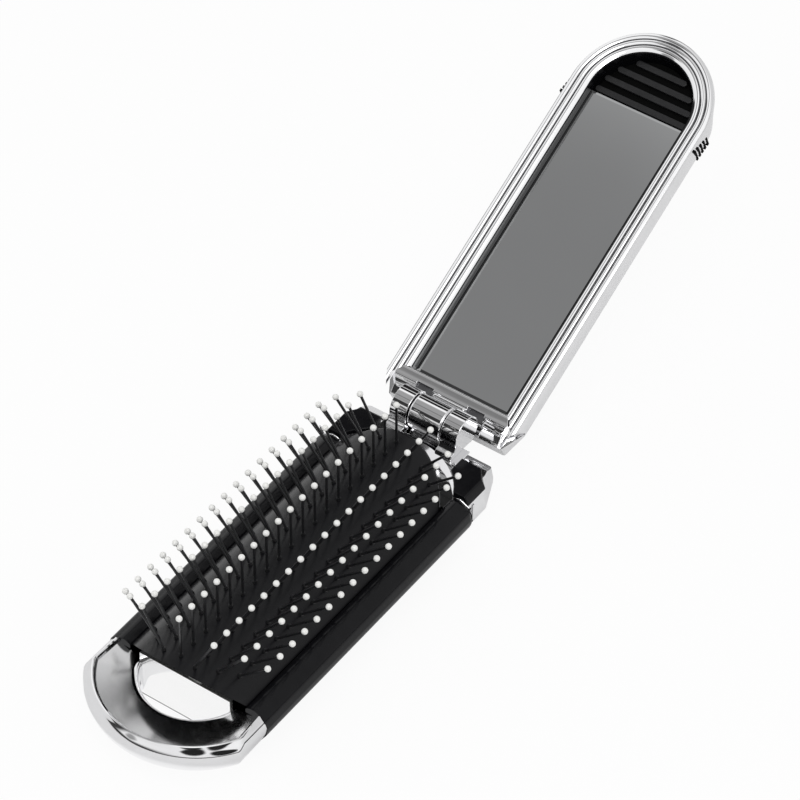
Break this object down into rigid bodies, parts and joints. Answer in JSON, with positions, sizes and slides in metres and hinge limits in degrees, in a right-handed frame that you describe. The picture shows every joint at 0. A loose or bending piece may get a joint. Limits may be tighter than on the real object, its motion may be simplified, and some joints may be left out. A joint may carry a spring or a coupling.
{
  "type": "folding hairbrush with mirror",
  "caption": "Folding pocket hairbrush: black body with seven rows of ball-tipped pins, chrome finger loop, and a hinged chrome cover that holds a long mirror.",
  "frame": {"origin": "on the flat back of the brush, under the middle pin of the centre row", "axes": "+Z out of the flat back towards the pins, +Y along the brush from the finger loop to the hinge and cover, +X across"},
  "size_m": [0.0366, 0.1812, 0.0545],
  "materials": {
    "gloss_black": "glossy",
    "pad_rubber": "satin",
    "chrome": "chrome plated plastic, mirror polished",
    "steel": "bright",
    "pin_black": "glossy black",
    "tip_white": "satin",
    "mirror": "polished",
    "inner_plastic": "matte"
  },
  "bodies": {
    "base": {"body_housing": "gloss_black", "back_plate": "gloss_black", "back_screws": "steel", "finger_loop": "chrome", "hinge_block": "chrome", "cap_plate_left": "gloss_black", "cap_plate_right": "gloss_black", "hinge_bracket": "chrome", "hinge_pin": "steel", "pin_pad": "pad_rubber", "lift_springs": "steel"},
    "cover": {"cover_shell": "chrome", "cover_frame": "chrome", "cover_hinge_bar": "chrome", "mirror_tray": "gloss_black", "mirror_backing": "inner_plastic", "mirror_glass": "mirror", "grip_insert": "pad_rubber", "back_grip": "pad_rubber", "bar_screws": "steel"},
    "centre_row": {"pin_row_d": "pin_black", "pin_tips_d": "tip_white", "pad_lifter": "inner_plastic"},
    "inner_rows": {"pin_row_c": "pin_black", "pin_row_e": "pin_black", "pin_tips_c": "tip_white", "pin_tips_e": "tip_white"},
    "outer_rows": {"pin_row_b": "pin_black", "pin_row_f": "pin_black", "pin_tips_b": "tip_white", "pin_tips_f": "tip_white"},
    "edge_rows": {"pin_row_a": "pin_black", "pin_row_g": "pin_black", "pin_tips_a": "tip_white", "pin_tips_g": "tip_white"}
  },
  "joints": [
    {"name": "cover_hinge", "type": "hinge", "parent": "base", "child": "cover", "pos_m": [0, 0.046, 0.01575], "axis": [1, 0, 0], "range_deg": [-26.8, 153.2]},
    {"name": "centre_row_sink", "type": "slide", "parent": "base", "child": "centre_row", "axis": [0, 0, 1], "range_m": [-0.00945, 0.00169], "deforming": ["pin_pad", "lift_springs"]},
    {"name": "inner_rows_sink", "type": "slide", "parent": "base", "child": "inner_rows", "axis": [0, 0, 1], "range_m": [-0.00835, 0.0015]},
    {"name": "outer_rows_sink", "type": "slide", "parent": "base", "child": "outer_rows", "axis": [0, 0, 1], "range_m": [-0.00795, 0.00143]},
    {"name": "edge_rows_sink", "type": "slide", "parent": "base", "child": "edge_rows", "axis": [0, 0, 1], "range_m": [-0.00525, 0.00096]}
  ],
  "couplings": [
    {"joint": "centre_row_sink", "follows": "cover_hinge", "m_per_rad": -0.0035155},
    {"joint": "inner_rows_sink", "follows": "cover_hinge", "m_per_rad": -0.0031041},
    {"joint": "outer_rows_sink", "follows": "cover_hinge", "m_per_rad": -0.0029545},
    {"joint": "edge_rows_sink", "follows": "cover_hinge", "m_per_rad": -0.0019448}
  ]
}
